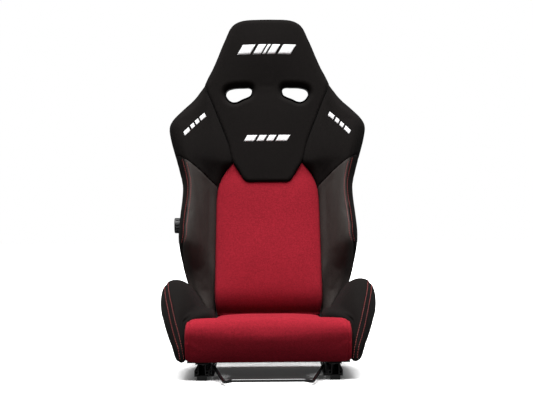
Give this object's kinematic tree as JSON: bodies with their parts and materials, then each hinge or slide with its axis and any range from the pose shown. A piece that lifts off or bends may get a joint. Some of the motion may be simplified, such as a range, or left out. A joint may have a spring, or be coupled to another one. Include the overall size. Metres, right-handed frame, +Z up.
{
  "type": "reclining racing seat",
  "caption": "Reclining bucket-style racing seat with side bolsters, harness slots, a lumbar knob, a recline lever and sliding rails with a lift bar.",
  "frame": {"origin": "centre of the four rail mounting holes, on the plane that the spacers under the rails stand on", "axes": "+X to the right when looking at the seat's front, -Y the way the sitter faces, +Z up; the backrest rests 17 degrees back from upright"},
  "size_m": [0.544, 0.8837, 0.9688],
  "materials": {
    "zinc_steel": "zinc plated, slightly cloudy",
    "frame_paint": "black powder coat",
    "recliner_steel": "oiled machined steel",
    "spring_wire": "dark oil-tempered wire",
    "black_gloss_rod": "black gloss paint",
    "black_plastic": "moulded, fine texture",
    "rear_shell_plastic": "moulded, leather grain",
    "webbing": "woven elastic",
    "black_vinyl": "grained vinyl over foam, satin sheen, red twin stitching",
    "black_fabric": "fine black weave over foam",
    "red_fabric": "red knit over foam"
  },
  "bodies": {
    "lower_rails": {"lower_rail_left": "frame_paint", "lower_rail_right": "frame_paint", "rail_spacers": "frame_paint", "rail_end_feet": "frame_paint"},
    "seat_base": {"upper_rail_left": "frame_paint", "upper_rail_right": "frame_paint", "side_plate_left": "frame_paint", "side_plate_right": "frame_paint", "front_cross_tube": "frame_paint", "rear_cross_tube": "frame_paint", "seat_springs": "spring_wire", "spring_clips": "black_plastic", "cushion_nose": "red_fabric", "cushion_center": "red_fabric", "base_bolster_left": "black_fabric", "base_bolster_right": "black_fabric", "recliner_fixed_left": "recliner_steel", "recliner_fixed_right": "recliner_steel", "recliner_cover_left": "black_plastic", "recliner_cover_right": "black_plastic", "cover_screws": "zinc_steel", "frame_bolts": "zinc_steel", "latch_pins": "zinc_steel", "rail_balls": "recliner_steel", "ball_strips": "black_plastic"},
    "backrest": {"back_hoop": "frame_paint", "back_cross_tubes": "frame_paint", "back_straps": "webbing", "back_panel": "red_fabric", "head_pad": "black_fabric", "back_cover": "rear_shell_plastic", "cover_clips": "black_plastic", "lumbar_bracket": "frame_paint", "arm_bolts": "zinc_steel", "back_arm_left": "frame_paint", "back_arm_right": "frame_paint", "recliner_moving_left": "recliner_steel", "recliner_moving_right": "recliner_steel", "back_bolster_left": "black_vinyl", "back_bolster_right": "black_vinyl", "shoulder_wing_left": "black_fabric", "shoulder_wing_right": "black_fabric", "harness_liner_left": "black_plastic", "harness_liner_right": "black_plastic"},
    "recline_lever": {"recline_lever": "frame_paint", "lever_grip": "black_plastic", "sync_rod": "recliner_steel"},
    "rail_release": {"towel_bar": "black_gloss_rod", "latch_lever_left": "frame_paint", "latch_lever_right": "frame_paint"},
    "lumbar_knob": {"lumbar_knob": "black_plastic", "lumbar_shaft": "recliner_steel"},
    "lumbar_plate": {"lumbar_plate": "frame_paint"}
  },
  "joints": [
    {"name": "seat_slide", "type": "slide", "parent": "lower_rails", "child": "seat_base", "axis": [0, 1, 0], "range_m": [-0.06, 0.084]},
    {"name": "backrest_recline", "type": "hinge", "parent": "seat_base", "child": "backrest", "pos_m": [0, 0.24, 0.109], "axis": [-1, 0, 0], "range_deg": [-6, 60]},
    {"name": "recline_lever_pull", "type": "hinge", "parent": "seat_base", "child": "recline_lever", "pos_m": [0, 0.24, 0.109], "axis": [-1, 0, 0], "range_deg": [0, 25], "stiffness_Nm_per_rad": 4, "springref_deg": -5.73},
    {"name": "rail_release_lift", "type": "hinge", "parent": "seat_base", "child": "rail_release", "pos_m": [0, -0.05, 0.033], "axis": [-1, 0, 0], "range_deg": [0, 6], "stiffness_Nm_per_rad": 30, "springref_deg": -2.86},
    {"name": "lumbar_turn", "type": "hinge", "parent": "backrest", "child": "lumbar_knob", "pos_m": [0, 0.36788, 0.38361], "axis": [1, 0, 0], "range_deg": [0, 180]},
    {"name": "lumbar_push", "type": "slide", "parent": "backrest", "child": "lumbar_plate", "axis": [0, -0.9563, 0.2924], "range_m": [0, 0.012]}
  ],
  "couplings": [
    {"joint": "lumbar_turn", "follows": "lumbar_push", "rad_per_m": 261.8}
  ]
}
